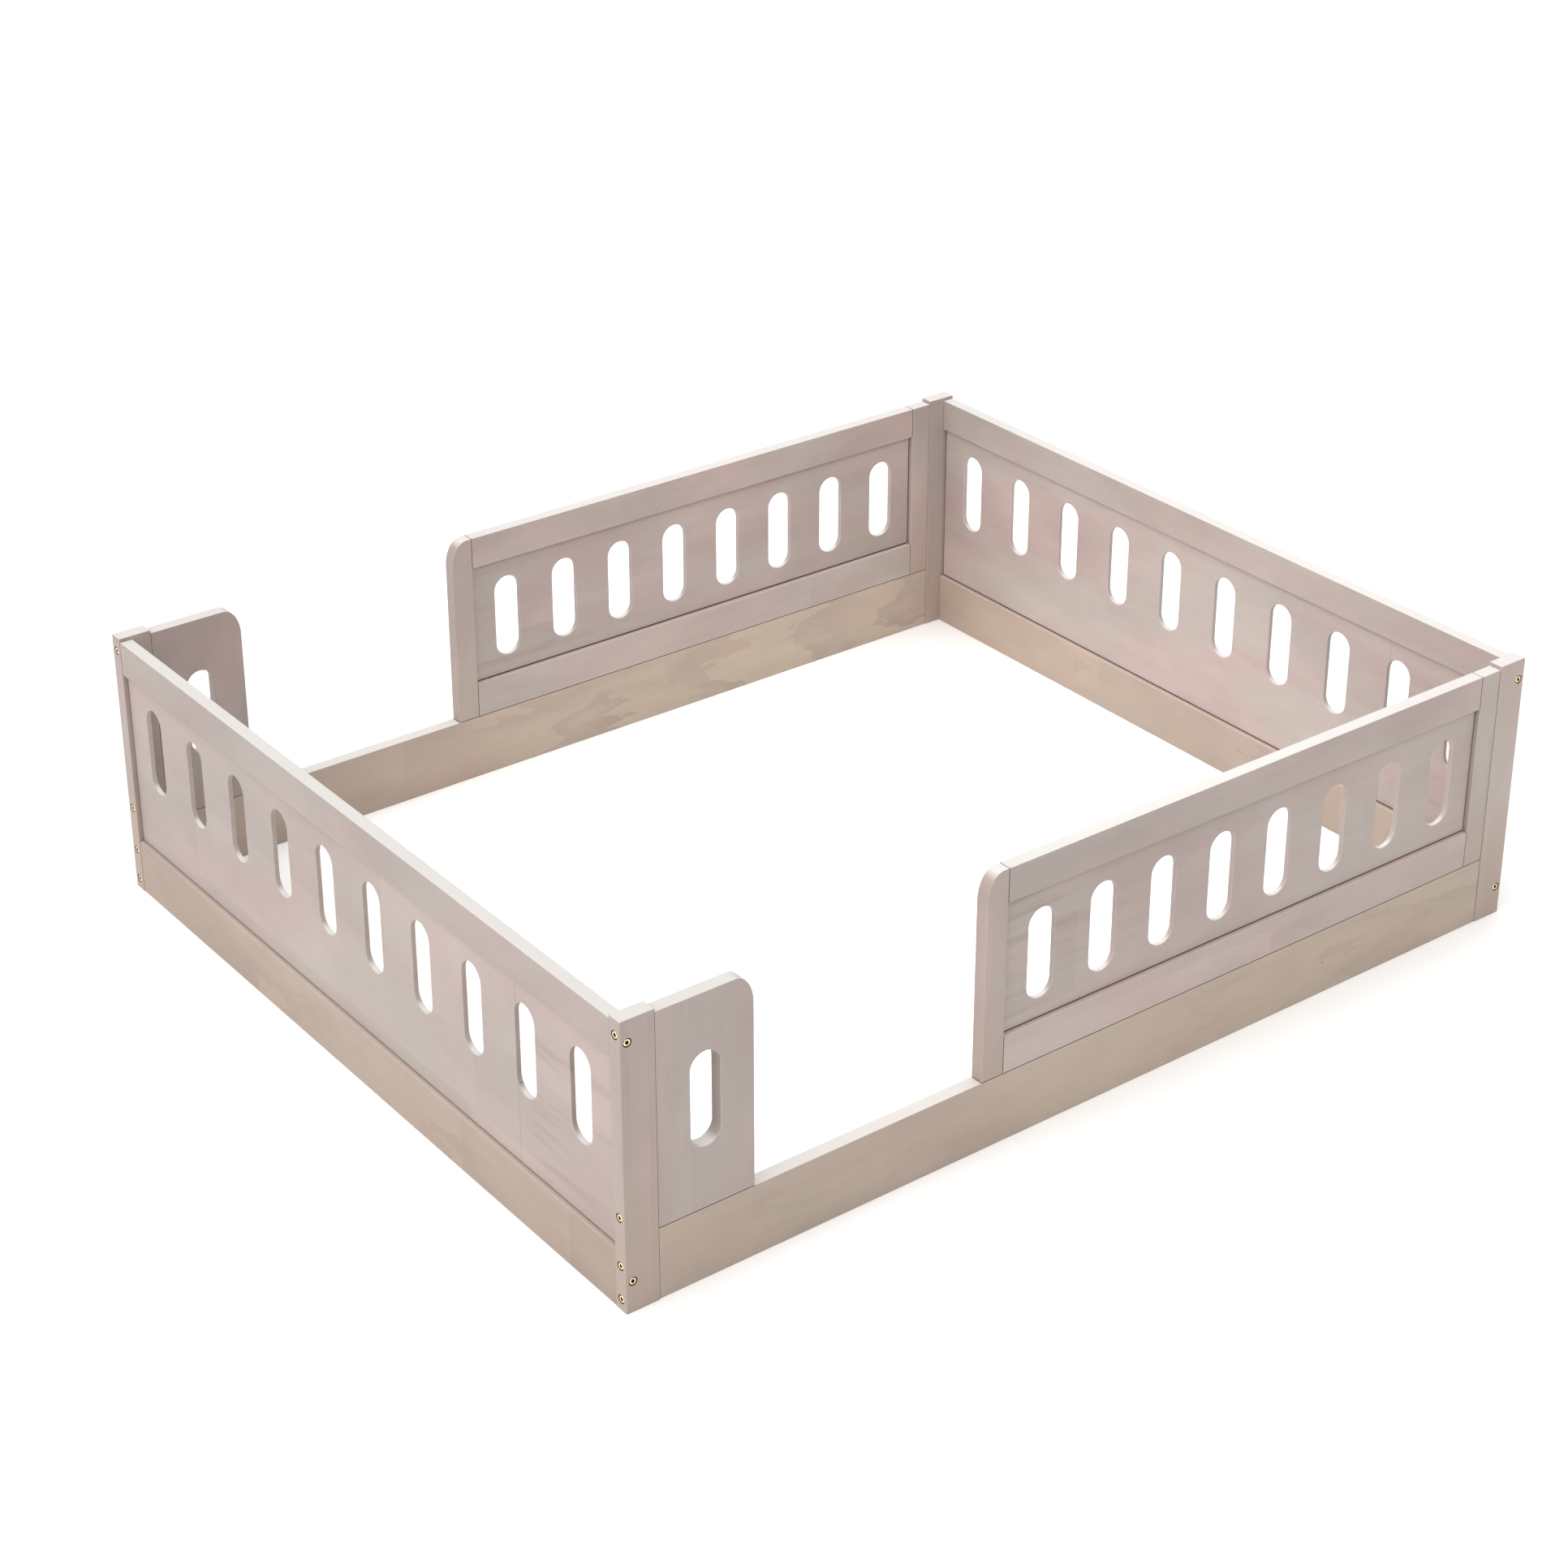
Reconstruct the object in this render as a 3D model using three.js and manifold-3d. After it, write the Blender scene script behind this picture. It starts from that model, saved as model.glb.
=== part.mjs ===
// A free-standing wooden playpen for small children: four corner posts, two
// slotted end panels and two long sides, each with an open doorway between a
// short stub panel and a long slotted panel, over a full-length base rail.
// Millimetres, +Z up. The origin is on the floor, at the centre of the
// footprint. The long sides run along X and the end panels along Y.

import * as THREE from 'three';
import { mergeVertices } from 'three/addons/utils/BufferGeometryUtils.js';
import Module from 'manifold-3d';

const wasm = await Module();
wasm.setup();

// ---------- driving dimensions ----------

// The whole pen
const penLength = 2000;
const penWidth = 1646;
const postHeight = 535;

// Clearance left between pieces that touch
const seam = 0.4;

// Corner posts: boards with their wide face along the long side
const postWidth = 64;
const postDepth = 29;

// Boards between the posts
const postProud = 7;
const longBoardThickness = 26;
const endBoardThickness = 25;
const endSetback = 1;
const baseRailHeight = 134;

// Frame of each long slotted panel
const longTopRailHeight = 65;
const longBottomRailHeight = 73;
const gateStileWidth = 46;
const postStileWidth = 47;
const doorwayWidth = 468;

// Rails of each end panel
const endTopRailHeight = 67;
const endBottomRailHeight = 108;

// Stub panel beside each doorway
const stubWidth = 185;

// Rounded outer corner on either side of a doorway
const cornerRun = 35;
const cornerDrop = 54;
const cornerSteps = 8;

// Thin panels, held in grooves of their frames
const panelThickness = 10;
const grooveDepth = 8;
const grooveClearance = 0.3;
const tenonShoulder = 12;

// Hand slots
const slotWidth = 57;
const slotLength = 173;
const slotSteps = 5;
const longSlotCount = 8;
const longSlotMargin = 54;
const endSlotCount = 10;
const endSlotMargin = 66;

// Bolts: through a post and into the end of a board
const boltHeadRadius = 7;
const boltHeadHeight = 2.6;
const boltShankRadius = 3;
const boltEngagement = 34;
const boltTipClearance = 2;
const socketAcrossCorners = 5.8;
const socketDepth = 1.6;
const boltHoleClearance = 0.35;
const headRecess = 0.4;
const boltSides = 10;

// Bolt heights, measured from the edge of the board that each one holds
const panelBoltBelowTop = 22;
const panelBoltAboveBottom = 40;
const baseBoltBelowTop = 50;
const baseBoltAboveFloor = 21;
const endBottomBoltHeight = 58;

// Dowels between the base rails and the panels that stand on them
const dowelRadius = 4;
const dowelLength = 60;
const dowelHoleClearance = 0.4;
const dowelSides = 8;
const stubDowelInset = 45;

// Cutting tools run this far past a face so that they cut it cleanly
const overrun = 1;

// ---------- derived sizes ----------

const halfLength = penLength / 2;
const halfWidth = penWidth / 2;
const postInnerX = halfLength - postWidth;
const postInnerY = halfWidth - postDepth;
const railTop = postHeight - postProud;
const longBoardY = halfWidth - postDepth / 2;
const endBoardX = halfLength - endSetback - endBoardThickness / 2;
const panelBottom = baseRailHeight + seam;
const stubEnd = -postInnerX + seam + stubWidth;
const gateStileStart = stubEnd + doorwayWidth;
const longOpeningBottom = panelBottom + longBottomRailHeight;
const longOpeningTop = railTop - longTopRailHeight;
const endOpeningTop = railTop - endTopRailHeight;
const slotCentreHeight = (longOpeningBottom + longOpeningTop) / 2;
const panelTongue = grooveDepth - grooveClearance;

// ---------- finishes ----------

const finishes = {
  rail_wood: { color: 0xb5a797, roughness: 0.62, metalness: 0 },
  panel_wood: { color: 0xb8a69d, roughness: 0.62, metalness: 0 },
  dowel_wood: { color: 0xc9a877, roughness: 0.8, metalness: 0 },
  bolt_brass: { color: 0xc8a45c, roughness: 0.3, metalness: 1 },
};

function finish(name) {
  return new THREE.MeshStandardMaterial(finishes[name]);
}

// ---------- solids ----------

function toSolid(geometry) {
  const bare = geometry.clone();
  bare.deleteAttribute('normal');
  bare.deleteAttribute('uv');
  const merged = mergeVertices(bare, 1e-4);
  return new wasm.Manifold(new wasm.Mesh({
    numProp: 3,
    vertProperties: new Float32Array(merged.attributes.position.array),
    triVerts: new Uint32Array(merged.index.array),
  }));
}

function toGeometry(solid) {
  const mesh = solid.getMesh();
  const geometry = new THREE.BufferGeometry();
  geometry.setAttribute('position', new THREE.BufferAttribute(mesh.vertProperties, 3));
  geometry.setIndex(new THREE.BufferAttribute(mesh.triVerts, 1));
  geometry.computeVertexNormals();
  return geometry;
}

// A block from its two opposite corners, each [x, y, z]
function block(low, high) {
  const size = high.map((value, axis) => value - low[axis]);
  const geometry = new THREE.BoxGeometry(...size);
  geometry.translate(...high.map((value, axis) => (value + low[axis]) / 2));
  return toSolid(geometry);
}

// A round bar along a unit direction, starting at a point
function bar(start, direction, radius, length, sides) {
  const geometry = new THREE.CylinderGeometry(radius, radius, length, sides);
  geometry.translate(0, length / 2, 0);
  const along = new THREE.Vector3(...direction);
  geometry.applyQuaternion(
    new THREE.Quaternion().setFromUnitVectors(new THREE.Vector3(0, 1, 0), along));
  geometry.translate(...start);
  return toSolid(geometry);
}

// A board standing on edge: its outline lies in X and Z, and its thickness is
// centred on y = 0
function standingBoard(outline, thickness) {
  const geometry = new THREE.ExtrudeGeometry(outline, { depth: thickness, bevelEnabled: false });
  geometry.rotateX(Math.PI / 2);
  geometry.translate(0, thickness / 2, 0);
  return toSolid(geometry);
}

function rectangle(left, right, bottom, top) {
  const outline = new THREE.Shape();
  outline.moveTo(left, bottom);
  outline.lineTo(right, bottom);
  outline.lineTo(right, top);
  outline.lineTo(left, top);
  outline.closePath();
  return outline;
}

// A board whose upper corner on the doorway's side is rounded. The outline is
// drawn for a doorway at its right and mirrored for one at its left.
function roundedBoard(left, right, bottom, top, doorwayAtRight) {
  const run = Math.min(cornerRun, right - left);
  const drop = Math.min(cornerDrop, top - bottom);
  const middle = (left + right) / 2;
  const place = (x, z) => new THREE.Vector2(doorwayAtRight ? x : 2 * middle - x, z);
  const points = [place(left, bottom), place(right, bottom)];
  for (let step = 0; step <= cornerSteps; step += 1) {
    const angle = (Math.PI / 2) * (step / cornerSteps);
    points.push(place(
      right - run + run * Math.cos(angle),
      top - drop + drop * Math.sin(angle)));
  }
  points.push(place(left, top));
  return new THREE.Shape(doorwayAtRight ? points : points.reverse());
}

// An upright slot with round ends
function slotOutline(centreX) {
  const radius = slotWidth / 2;
  const reach = slotLength / 2 - radius;
  const slot = new THREE.Path();
  const arc = (centreZ, from) => {
    for (let step = 0; step <= 2 * slotSteps; step += 1) {
      const angle = from + (Math.PI * step) / (2 * slotSteps);
      const x = centreX + radius * Math.cos(angle);
      const z = centreZ + radius * Math.sin(angle);
      if (step === 0 && from === 0) slot.moveTo(x, z);
      else slot.lineTo(x, z);
    }
  };
  arc(slotCentreHeight + reach, 0);
  arc(slotCentreHeight - reach, Math.PI);
  slot.closePath();
  return slot;
}

// A row of slots, evenly spaced, with the same margin left at both ends
function slotRow(count, left, right, margin) {
  const first = left + margin + slotWidth / 2;
  const last = right - margin - slotWidth / 2;
  return Array.from({ length: count }, (_, i) =>
    slotOutline(first + ((last - first) * i) / (count - 1)));
}

// ---------- bolts and dowels ----------

// Length of a bolt's shank that holds a board behind a post of this thickness
function shankLength(postThickness) {
  return postThickness - headRecess - boltHeadHeight + boltEngagement;
}

// The bolt's axis is local +Y, with the top of its head at y = 0
function boltGeometry(postThickness) {
  const along = [0, 1, 0];
  const head = bar([0, 0, 0], along, boltHeadRadius, boltHeadHeight, boltSides);
  const shank = bar(
    [0, 0, 0], along, boltShankRadius,
    boltHeadHeight + shankLength(postThickness), boltSides);
  const socket = bar(
    [0, -overrun, 0], along, socketAcrossCorners / 2, socketDepth + overrun, 6);
  return toGeometry(head.add(shank).subtract(socket));
}

// The hole that a bolt passes through: a counterbore in the post, then a
// clearance hole that goes on into the board's end
function boltHole(face, inward, postThickness) {
  const back = inward.map((value) => -value * overrun);
  const start = face.map((value, axis) => value + back[axis]);
  const head = bar(
    start, inward, boltHeadRadius + boltHoleClearance,
    overrun + headRecess + boltHeadHeight + boltHoleClearance, boltSides);
  const reach = postThickness + boltEngagement + boltTipClearance;
  const shank = bar(
    start, inward, boltShankRadius + boltHoleClearance, overrun + reach, boltSides);
  return head.add(shank);
}

// Every bolt of the pen: a name, the point on the post's face where it enters,
// the direction it runs in and the post's thickness along it
function boltPlan() {
  const panelBolts = [railTop - panelBoltBelowTop, panelBottom + panelBoltAboveBottom];
  const baseBolts = [baseRailHeight - baseBoltBelowTop, baseBoltAboveFloor];
  const edgeHeights = [...panelBolts, ...baseBolts];
  const faceHeights = [railTop - endTopRailHeight / 2, endBottomBoltHeight];
  const plan = [];
  for (const [depthName, ySign] of [['front', -1], ['back', 1]]) {
    for (const [sideName, xSign] of [['left', -1], ['right', 1]]) {
      const corner = `${depthName}_${sideName}`;
      edgeHeights.forEach((height, i) => plan.push({
        name: `edge_bolt_${corner}_${i + 1}`,
        corner,
        face: [xSign * halfLength, ySign * longBoardY, height],
        inward: [-xSign, 0, 0],
        postThickness: postWidth,
      }));
      faceHeights.forEach((height, i) => plan.push({
        name: `face_bolt_${corner}_${i + 1}`,
        corner,
        face: [xSign * endBoardX, ySign * halfWidth, height],
        inward: [0, -ySign, 0],
        postThickness: postDepth,
      }));
    }
  }
  return plan;
}

const bolts = boltPlan();
const boltHoles = bolts.map((bolt) => ({
  corner: bolt.corner,
  tool: boltHole(bolt.face, bolt.inward, bolt.postThickness),
}));

// Dowels stand at these places along each long side
const dowelPlaces = [
  -postInnerX + seam + stubDowelInset,
  stubEnd - stubDowelInset,
  gateStileStart + gateStileWidth / 2,
  postInnerX - seam - postStileWidth / 2,
];

function dowelHole(x, y) {
  const half = dowelLength / 2 + overrun;
  return bar(
    [x, y, baseRailHeight - half], [0, 0, 1],
    dowelRadius + dowelHoleClearance, 2 * half, dowelSides);
}

// ---------- sub-parts ----------

const pen = new THREE.Group();

function addMesh(parent, name, geometry, finishName) {
  const mesh = new THREE.Mesh(geometry, finish(finishName));
  mesh.name = name;
  parent.add(mesh);
  return mesh;
}

// Cuts tools given in the pen's frame out of a solid
function cutAll(solid, tools) {
  return tools.reduce((left, tool) => left.subtract(tool), solid);
}

function addPosts() {
  for (const [depthName, ySign] of [['front', -1], ['back', 1]]) {
    for (const [sideName, xSign] of [['left', -1], ['right', 1]]) {
      const corner = `${depthName}_${sideName}`;
      const xs = [xSign * halfLength, xSign * postInnerX].sort((a, b) => a - b);
      const ys = [ySign * halfWidth, ySign * postInnerY].sort((a, b) => a - b);
      const blank = block([xs[0], ys[0], 0], [xs[1], ys[1], postHeight]);
      const tools = boltHoles.filter((hole) => hole.corner === corner).map((hole) => hole.tool);
      addMesh(pen, `post_${corner}`, toGeometry(cutAll(blank, tools)), 'panel_wood');
    }
  }
}

// The groove in a frame piece: a block centred in the board's thickness
function groove(left, right, bottom, top) {
  const half = panelThickness / 2 + grooveClearance;
  return block([left, -half, bottom], [right, half, top]);
}

// The part of a rail that stands in the stiles' grooves at both of its ends
function tenons(left, right, bottom, top) {
  const half = panelThickness / 2;
  return block([left - panelTongue, -half, bottom], [right + panelTongue, half, top]);
}

// Frame pieces and the slotted panel of one long side's panel, centred on y = 0
function longPanelPieces() {
  const left = gateStileStart;
  const right = postInnerX - seam;
  const railLeft = left + gateStileWidth + seam;
  const railRight = right - postStileWidth - seam;

  const stileGroove = (edge, into) => groove(
    Math.min(edge, edge + into), Math.max(edge, edge + into),
    panelBottom + tenonShoulder - grooveClearance, railTop - tenonShoulder + grooveClearance);
  const gateStile = standingBoard(
    roundedBoard(left, left + gateStileWidth, panelBottom, railTop, false), longBoardThickness)
    .subtract(stileGroove(left + gateStileWidth + overrun, -grooveDepth - overrun));
  const postStile = standingBoard(
    rectangle(right - postStileWidth, right, panelBottom, railTop), longBoardThickness)
    .subtract(stileGroove(right - postStileWidth - overrun, grooveDepth + overrun));

  const topRail = standingBoard(
    rectangle(railLeft, railRight, longOpeningTop, railTop), longBoardThickness)
    .add(tenons(railLeft, railRight, longOpeningTop + grooveDepth, railTop - tenonShoulder))
    .subtract(groove(
      railLeft - grooveDepth, railRight + grooveDepth,
      longOpeningTop - overrun, longOpeningTop + grooveDepth));
  const bottomRail = standingBoard(
    rectangle(railLeft, railRight, panelBottom, longOpeningBottom), longBoardThickness)
    .add(tenons(railLeft, railRight, panelBottom + tenonShoulder, longOpeningBottom - grooveDepth))
    .subtract(groove(
      railLeft - grooveDepth, railRight + grooveDepth,
      longOpeningBottom - grooveDepth, longOpeningBottom + overrun));

  const outline = rectangle(
    railLeft - panelTongue + seam, railRight + panelTongue - seam,
    longOpeningBottom - panelTongue, longOpeningTop + panelTongue);
  outline.holes = slotRow(longSlotCount, railLeft, railRight, longSlotMargin);
  const slottedPanel = standingBoard(outline, panelThickness);

  return [
    ['gate_stile', gateStile, 'panel_wood'],
    ['post_stile', postStile, 'panel_wood'],
    ['top_rail', topRail, 'panel_wood'],
    ['bottom_rail', bottomRail, 'panel_wood'],
    ['slotted_panel', slottedPanel, 'panel_wood'],
  ];
}

function stubPanelPiece() {
  const left = -postInnerX + seam;
  const outline = roundedBoard(left, stubEnd, panelBottom, railTop, true);
  outline.holes = [slotOutline((left + stubEnd) / 2)];
  return ['stub_panel', standingBoard(outline, longBoardThickness), 'panel_wood'];
}

function baseRailPiece() {
  const outline = rectangle(-postInnerX + seam, postInnerX - seam, 0, baseRailHeight);
  return ['base_rail', standingBoard(outline, longBoardThickness), 'rail_wood'];
}

// Both long sides have the same pieces, one side's width apart
function addLongSides() {
  for (const [sideName, ySign] of [['front', -1], ['back', 1]]) {
    const side = new THREE.Group();
    side.position.y = ySign * longBoardY;
    pen.add(side);
    const tools = [
      ...boltHoles.filter((hole) => hole.corner.startsWith(sideName))
        .map((hole) => hole.tool.translate([0, -side.position.y, 0])),
      ...dowelPlaces.map((x) => dowelHole(x, 0)),
    ];
    for (const [piece, solid, finishName] of
      [baseRailPiece(), stubPanelPiece(), ...longPanelPieces()]) {
      addMesh(side, `${piece}_${sideName}`, toGeometry(cutAll(solid, tools)), finishName);
    }
    dowelPlaces.forEach((x, i) => {
      const dowel = bar(
        [x, 0, baseRailHeight - dowelLength / 2], [0, 0, 1],
        dowelRadius, dowelLength, dowelSides);
      addMesh(side, `dowel_${sideName}_${i + 1}`, toGeometry(dowel), 'dowel_wood');
    });
  }
}

// Rails and slotted panel of one end, running along local X, centred on y = 0
function endPieces() {
  const half = postInnerY - seam;
  const topRail = standingBoard(rectangle(-half, half, endOpeningTop, railTop), endBoardThickness)
    .subtract(groove(
      -half - overrun, half + overrun, endOpeningTop - overrun, endOpeningTop + grooveDepth));
  const bottomRail = standingBoard(rectangle(-half, half, 0, endBottomRailHeight), endBoardThickness)
    .subtract(groove(
      -half - overrun, half + overrun, endBottomRailHeight - grooveDepth, endBottomRailHeight + overrun));
  const outline = rectangle(
    -half, half, endBottomRailHeight - panelTongue, endOpeningTop + panelTongue);
  outline.holes = slotRow(endSlotCount, -half, half, endSlotMargin);
  return [
    ['top_rail', topRail, 'panel_wood'],
    ['bottom_rail', bottomRail, 'rail_wood'],
    ['slotted_panel', standingBoard(outline, panelThickness), 'panel_wood'],
  ];
}

function addEnds() {
  for (const [sideName, xSign] of [['left', -1], ['right', 1]]) {
    const end = new THREE.Group();
    end.position.x = xSign * endBoardX;
    end.rotation.z = Math.PI / 2;
    pen.add(end);
    const tools = boltHoles.filter((hole) => hole.corner.endsWith(sideName))
      .map((hole) => hole.tool.translate([-end.position.x, 0, 0]).rotate([0, 0, -90]));
    for (const [piece, solid, finishName] of endPieces()) {
      addMesh(end, `${piece}_${sideName}`, toGeometry(cutAll(solid, tools)), finishName);
    }
  }
}

function addBolts() {
  const geometries = new Map([postWidth, postDepth].map(
    (thickness) => [thickness, boltGeometry(thickness)]));
  for (const bolt of bolts) {
    const mesh = addMesh(pen, bolt.name, geometries.get(bolt.postThickness), 'bolt_brass');
    const inward = new THREE.Vector3(...bolt.inward);
    mesh.quaternion.setFromUnitVectors(new THREE.Vector3(0, 1, 0), inward);
    mesh.position.set(...bolt.face).addScaledVector(inward, headRecess);
  }
}

addPosts();
addLongSides();
addEnds();
addBolts();

export default pen;
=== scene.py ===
import math
import random

import bmesh
import bpy
from bpy.props import FloatProperty, FloatVectorProperty, IntProperty, PointerProperty
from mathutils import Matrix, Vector
from mathutils.geometry import tessellate_polygon


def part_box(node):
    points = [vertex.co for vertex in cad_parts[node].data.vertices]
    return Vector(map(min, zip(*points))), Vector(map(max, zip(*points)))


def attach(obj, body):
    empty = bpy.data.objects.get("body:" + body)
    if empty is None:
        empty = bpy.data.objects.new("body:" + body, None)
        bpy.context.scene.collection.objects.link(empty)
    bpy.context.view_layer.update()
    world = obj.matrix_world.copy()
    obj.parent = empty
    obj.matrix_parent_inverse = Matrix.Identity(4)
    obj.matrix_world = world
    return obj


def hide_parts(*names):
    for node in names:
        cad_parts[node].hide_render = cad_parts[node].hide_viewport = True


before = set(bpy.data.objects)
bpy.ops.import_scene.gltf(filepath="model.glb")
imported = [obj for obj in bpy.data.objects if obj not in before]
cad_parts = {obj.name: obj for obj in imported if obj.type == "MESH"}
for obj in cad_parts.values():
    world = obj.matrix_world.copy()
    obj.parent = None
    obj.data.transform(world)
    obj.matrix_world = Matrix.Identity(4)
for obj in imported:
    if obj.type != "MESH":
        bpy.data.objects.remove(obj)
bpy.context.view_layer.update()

bl_info = {
    "name": "Whitewashed Playpen",
    "version": (1, 0, 0),
    "blender": (4, 5, 0),
    "location": "View3D > Sidebar > Playpen",
    "description": "Boards, slotted panels, posts and brass bolts of a bolted floor playpen",
    "category": "Object",
}

MM = 0.001
SIDES = ("front", "back")
ENDS = ("left", "right")
WHITE = (1.0, 1.0, 1.0, 1.0)

# joints: the hairline between two boards, how near a board counts as lying against another and so gets
# painted shade, and how much painted shade a ledge beside a panel gets
SEAM = 0.4 * MM
BOARD_REACH = 1.0 * MM
POST_REACH = 0.2 * MM
PANEL_REACH = 0.3 * MM
SEAM_NUDGE = 1.2 * MM
TONGUE_CLEARANCE = 0.1 * MM
LEDGE_SHADE = 0.12
NEVER = -9.0
NO_JOINTS = (NEVER, NEVER, NEVER)

# where the boards of one part are glued together, and where figure or streaks begin or end
FIGURE_START = -0.2
FIGURE_RISE = 0.004
THIRD_BOARD = 0.345
STREAKS_END = 0.16
SHORT_BOARD = -0.52
SHORT_BOARD_STREAKS = 4

# rounds: facets, and the shorter ease on the ends of boards
DOORWAY_STEPS = 18
SEAT_STEPS = 40
HEAD_STEPS = 48
POST_END_EASE = 0.8
BOARD_END_EASE = 0.9
PANEL_CORNER = 0.4 * MM
PANEL_EASE = 0.7 * MM

# slots, and the plain wood between the frame and the first one
SLOT_WIDTH = 57 * MM
SLOT_HEIGHT = 173 * MM
LONG_SLOTS = 8
LONG_MARGIN = 54 * MM
END_SLOTS = 10
END_MARGIN = 66 * MM

# the long round of the boards beside a doorway
CORNER_RUN = 35 * MM
CORNER_DROP = 54 * MM
SAME_SPOT = 1e-6

# connector bolts
HEAD_RADIUS = 6.5 * MM
HEAD_THICKNESS = 2.6 * MM
SOCKET_RADIUS = 3.5 * MM
SHANK_RADIUS = 3.0 * MM
BOLTS = (("edge", 4), ("face", 2))
HARDWARE = ("edge_bolt", "face_bolt", "dowel")
HEXAGON_SIDE = math.pi / 3

# how far round a bolt its seat's wood gets painted shade
SEAT_MOUTH = 0.5 * MM
SEAT_SKIN = 0.1 * MM
SEAT_RANGE = 9 * MM

# shading: faces that meet at more than this keep a crisp edge
CRISP_WOOD = math.radians(42)
CRISP_BRASS = math.radians(35)

# stage
FLOOR_SIZE = 30
FLOOR_DROP = 0.3 * MM
CANOPY_AIM = (0.25, 0.06, -1.0)
PEN_MIDDLE = (0, 0, 0.2)
SENSOR_WIDTH = 36.0
FARTHEST = 200.0
# name, place, aim point, size and the setting that holds its power
SOFTBOXES = (
    ("left softbox", (-5.2, -1.2, 2.2), PEN_MIDDLE, 2.6, "side"),
    ("right softbox", (5.2, 1.2, 2.2), PEN_MIDDLE, 2.6, "fill"),
    ("back softbox", (-0.8, 5.4, 2.2), PEN_MIDDLE, 2.6, "fill"),
    ("inner softbox", (0.15, -0.1, 1.3), (1.0, -0.1, 0.1), 1.0, "inner"),
)

# boards that came out a little lighter or darker than the rest: partly their own tone, partly painted
# light and shade, such as the darker far back post and back stub
BOARD_TONES_AND_PAINTED_LIGHT = {
    "base_rail_back": 0.97,
    "base_rail_front": 1.1,
    "bottom_rail_front": 1.08,
    "bottom_rail_left": 0.96,
    "bottom_rail_right": 1.12,
    "post_back_left": 0.93,
    "post_back_right": 0.84,
    "post_front_left": 0.98,
    "post_front_right": 1.15,
    "slotted_panel_back": 0.97,
    "slotted_panel_right": 1.05,
    "stub_panel_back": 0.9,
    "stub_panel_front": 1.03,
    "top_rail_left": 0.87,
}


def paint(red, green, blue):
    """A paint-card colour, 0 to 255 a channel, as the linear colour the shaders take."""
    channels = []
    for value in (red, green, blue):
        share = value / 255
        linear = share / 12.92 if share <= 0.04045 else ((share + 0.055) / 1.055) ** 2.4
        channels.append(linear)
    return tuple(channels)


# ---------------------------------------------------------------- settings


def length(label, text, default, top=0.1):
    bounds = {"min": 0.0, "max": top, "precision": 4, "subtype": "DISTANCE", "unit": "LENGTH"}
    return FloatProperty(name=label, description=text, default=default, **bounds)


def colour(label, text, default):
    return FloatVectorProperty(
        name=label, description=text, default=default, min=0.0, max=1.0, subtype="COLOR"
    )


def share(label, text, default, top=1.0):
    return FloatProperty(name=label, description=text, default=default, min=0.0, max=top)


def number(label, text, default, unit="NONE"):
    return FloatProperty(name=label, description=text, default=default, unit=unit)


class PlaypenShape(bpy.types.PropertyGroup):
    """Sizes of the softened edges, shadow gaps and bolt seats."""

    board_ease: length("Board edge radius", "Round on the arrises of rails and stiles", 1.2 * MM)
    post_ease: length("Post edge radius", "Round on the arrises of the corner posts", 1.6 * MM)
    panel_rim: length("Panel slot radius", "Round on the rims of the slots in the thin panels", 1.8 * MM)
    stub_rim: length("Stub slot radius", "Round on the rim of the slot in the thick stub", 2.2 * MM)
    shadow_gap: length("Shadow gap", "Height of the dark reveal round each thin panel", 3.7 * MM)
    tongue: length("Tongue thickness", "Thickness of the panel edge behind the reveal", 4.0 * MM)
    seat_gap: length("Bolt seat gap", "Clear ring between a bolt head and its counterbore", 1.4 * MM)
    ease_steps: IntProperty(
        name="Steps in a round",
        description="Facets across each rounded arris",
        default=4,
        min=1,
        max=8,
    )
    slot_steps: IntProperty(
        name="Steps in a slot end",
        description="Facets round each half-round slot end",
        default=24,
        min=6,
        max=64,
    )


class PlaypenFinish(bpy.types.PropertyGroup):
    """Colours and strengths of the whitewash, the bare wood and the brass."""

    wash_pink: colour("Pink wash", "Main tone of the whitewashed boards", paint(175, 155, 150))
    wash_grey: colour("Grey wash", "Cooler patches in the whitewash", paint(171, 160, 153))
    rail_tan: colour("Base tan", "Main tone of the base rails", paint(170, 151, 137))
    rail_flame: colour("Base flame", "Paler veneer figure in the base rails", paint(182, 166, 150))
    end_tan: colour("End rail tan", "Main tone of the bottom rails at the ends", paint(160, 143, 131))
    end_flame: colour("End rail flame", "Paler figure in those end rails", paint(171, 155, 142))
    # painted highlight on upward faces, and worn wash with painted highlight on arrises
    highlight_and_wear_white: colour("Edge white", "Thick wash on upward faces and worn arrises", paint(207, 204, 200))
    # a dimmer pink painted highlight on ledges that a panel shades
    ledge_dim_highlight: colour("Ledge pink", "Warm tone beside joints and along ledges", paint(197, 178, 170))
    # painted shade inside joints, shadow gaps and bolt seats
    painted_shade_brown: colour("Seam brown", "Shadowed wood inside the joints", paint(74, 40, 30))
    knot_brown: colour("Pin knot", "Small specks in the boards", paint(132, 106, 94))
    beech: colour("Bare beech", "Dowels", paint(214, 180, 140))
    brass: colour("Brass", "Bolt heads", paint(255, 232, 184))
    figure: share("Figure", "Strength of the flamed figure in the base rails", 0.75)
    satin: share("Roughness", "Roughness of the satin wash", 0.5)


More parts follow.
